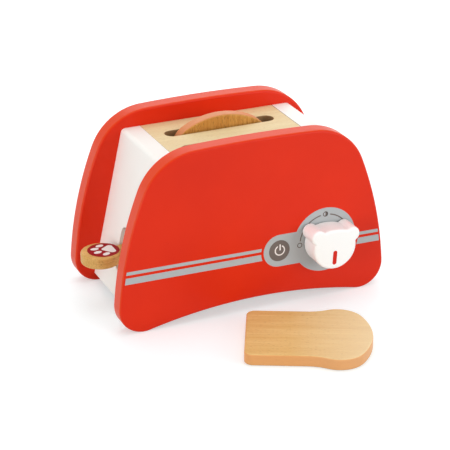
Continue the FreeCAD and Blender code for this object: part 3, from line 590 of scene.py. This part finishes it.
def light_studio():
    """A white room with even light all round, and four large soft boxes."""
    world = bpy.data.worlds.new("studio")
    bpy.context.scene.world = world
    world.use_nodes = True
    tree = world.node_tree
    rays = tree.nodes.new("ShaderNodeLightPath")
    either = tree.nodes.new("ShaderNodeMath")
    either.operation = "MAXIMUM"
    mix = tree.nodes.new("ShaderNodeMixShader")
    seen = tree.nodes.new("ShaderNodeBackground")
    seen.inputs["Strength"].default_value = 1.0
    seen.inputs["Color"].default_value = (1, 1, 1, 1)
    around = tree.nodes["Background"]
    around.inputs["Color"].default_value = (1.0, 0.99, 0.98, 1.0)
    around.inputs["Strength"].default_value = ROOM_LIGHT
    tree.links.new(rays.outputs["Is Camera Ray"], either.inputs[0])
    tree.links.new(rays.outputs["Is Glossy Ray"], either.inputs[1])
    tree.links.new(either.outputs[0], mix.inputs["Fac"])
    tree.links.new(around.outputs[0], mix.inputs[1])
    tree.links.new(seen.outputs[0], mix.inputs[2])
    tree.links.new(mix.outputs[0], tree.nodes["World Output"].inputs["Surface"])
    for name, (place, aim, size, power) in SOFT_BOXES.items():
        lamp = bpy.data.lights.new(name, "AREA")
        lamp.shape = "SQUARE"
        lamp.size = size
        lamp.energy = power
        holder = bpy.data.objects.new(name, lamp)
        holder.location = place
        holder.rotation_euler = (Vector(aim) - Vector(place)).to_track_quat("-Z", "Y").to_euler()
        bpy.context.scene.collection.objects.link(holder)


def set_camera():
    """The photo's viewpoint: a long lens from the left, looking down."""
    level = math.cos(CAMERA_TILT)
    ahead = Vector((math.sin(CAMERA_TURN) * level, math.cos(CAMERA_TURN) * level, -math.sin(CAMERA_TILT)))
    right = Vector((math.cos(CAMERA_TURN), -math.sin(CAMERA_TURN), 0))
    up = right.cross(ahead)
    camera = bpy.data.objects.new("camera", bpy.data.cameras.new("camera"))
    camera.data.sensor_width = SENSOR
    camera.data.lens = PHOTO_FOCAL * SENSOR / PHOTO_WIDTH
    place = -ahead * CAMERA_DISTANCE + right * CAMERA_SLIDE + up * CAMERA_LIFT
    turned = Matrix((right, up, -ahead)).transposed().to_4x4()
    camera.matrix_world = Matrix.Translation(place * MM) @ turned
    bpy.context.scene.collection.objects.link(camera)
    bpy.context.scene.camera = camera


# The red boards' rim colour is a painted highlight on their edges
red_paint = brushed_paint("red_satin_paint", srgb(225, 44, 10), srgb(208, 36, 12), rim=srgb(224, 70, 22))
white_paint = brushed_paint("white_satin_paint", srgb(249, 247, 242), srgb(243, 239, 232), rough=0.46)
knob_paint = brushed_paint("white_knob_paint", srgb(254, 254, 253), srgb(251, 250, 248), rough=0.36)
# The plate's dark rim colour is painted shade on the walls of its slots
plate_wood = lacquered_wood("plate_maple", srgb(236, 218, 172), srgb(219, 190, 138), srgb(176, 142, 94), "X",
                            rim=srgb(132, 96, 56))
# The standing slice is the same beech as the lying one, painted darker as shade where it stands in the slot;
# its pinkish rim colour is painted red light thrown on its edges by the panels
shaded_rear_toast_wood = lacquered_wood("standing_toast_beech_painted_shade", srgb(220, 168, 84), srgb(186, 122, 44),
                                 srgb(118, 72, 30), "Z", grain=0.62, fibre=1.7, rim=srgb(220, 140, 98),
                                 thin="Y")
loose_toast_wood = lacquered_wood("lying_toast_beech", srgb(237, 204, 136), srgb(217, 172, 98),
                                  srgb(168, 118, 56), "Y", turn=LOOSE_SLICE_TURN, depth=0.65, grain=0.4,
                                  fibre=1.3, rim=srgb(228, 154, 92), pale=(55, 115, srgb(243, 224, 182)))
lever_wood = lacquered_wood("lever_beech", srgb(226, 180, 102), srgb(197, 144, 70), srgb(132, 90, 38), "X",
                            grain=0.7, fibre=1.1)
dowel_wood = lacquered_wood("dowel_birch", srgb(232, 206, 160), srgb(214, 178, 124), srgb(170, 130, 84), "Z")

badge_ink = printed_film("badge_grey_ink", srgb(176, 180, 181))
dark_ink = printed_film("taupe_ink", srgb(112, 102, 97))
light_ink = printed_film("pale_ink", srgb(236, 228, 224))
crimson_ink = printed_film("crimson_ink", srgb(150, 14, 24))
pointer_ink = printed_film("pointer_red_ink", srgb(206, 40, 26))

FINISHES = {
    "front_panel": red_paint,
    "rear_panel": red_paint,
    "left_end_board": white_paint,
    "right_end_board": white_paint,
    "slot_plate": plate_wood,
    "base_board": white_paint,
    "toast_slice_rear": shaded_rear_toast_wood,
    "toast_slice_loose": loose_toast_wood,
    "lever": lever_wood,
    "toast_tray": dowel_wood,
    "guide_post_left": dowel_wood,
    "guide_post_right": dowel_wood,
    "assembly_dowels": dowel_wood,
    "knob": knob_paint,
    "knob_shaft": dowel_wood,
    "felt_washer": pressed_felt("grey_felt"),
    "retaining_washer": zinc_plate("washer_zinc"),
    "tray_screws": zinc_plate("tray_screw_zinc"),
    "shaft_screw": zinc_plate("shaft_screw_zinc"),
}
for node, material in FINISHES.items():
    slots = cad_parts[node].data.materials
    slots.clear()
    slots.append(material)

print_badge(badge_ink)
print_button(dark_ink, light_ink)
print_scale(dark_ink)
print_stripes(badge_ink)
print_paw(crimson_ink, light_ink)
print_pointer(pointer_ink)
# the seam's dark film is a painted shadow, not a gap
paint_seam_shadow(printed_film("seam_shadow_brown", srgb(122, 92, 60)))

lay_table()
light_studio()
set_camera()
bpy.context.scene.view_settings.view_transform = "Standard"
